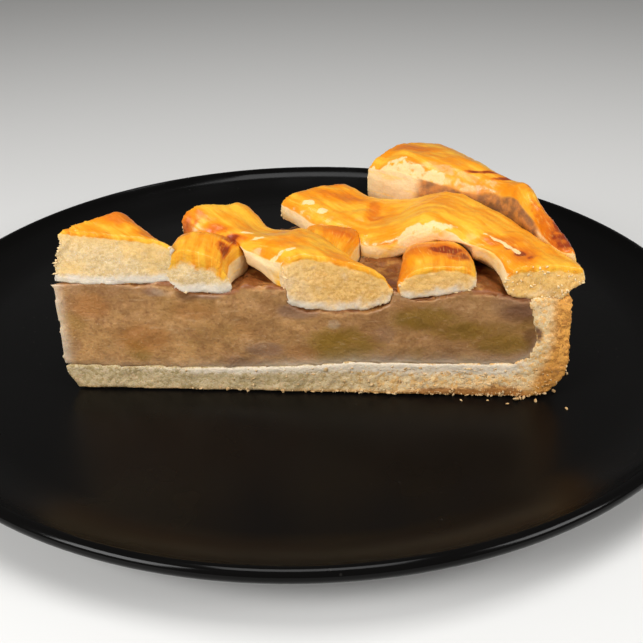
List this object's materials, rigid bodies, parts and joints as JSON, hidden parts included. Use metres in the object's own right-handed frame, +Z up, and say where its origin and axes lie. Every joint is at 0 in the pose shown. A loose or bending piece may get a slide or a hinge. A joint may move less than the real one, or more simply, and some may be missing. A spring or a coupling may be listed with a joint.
{
  "type": "apple pie slice",
  "caption": "Wedge of lattice-topped apple pie with a thick shortcrust base and wall and an apple filling, lying on a round black plate.",
  "frame": {"origin": "centre of the plate's foot, on the surface it stands on", "axes": "+Z up; +X along the slice from its tip towards its crust end; -Y towards the side that the picture was taken from"},
  "size_m": [0.2362, 0.2362, 0.0567],
  "materials": {
    "black_glaze": "smooth glossy black glaze",
    "baked_crust": "baked shortcrust, sandy and matte",
    "apple_filling": "moist cooked apple, soft sheen",
    "lattice_dough": "egg-washed baked dough, satin on top and crumbly where cut"
  },
  "bodies": {
    "root": {"plate": "black_glaze", "crust": "baked_crust", "filling": "apple_filling", "strip_under_1": "lattice_dough", "strip_under_2": "lattice_dough", "strip_under_3": "lattice_dough", "strip_over_1": "lattice_dough", "strip_over_2": "lattice_dough", "strip_over_3": "lattice_dough", "strip_over_4": "lattice_dough"}
  },
  "joints": []
}
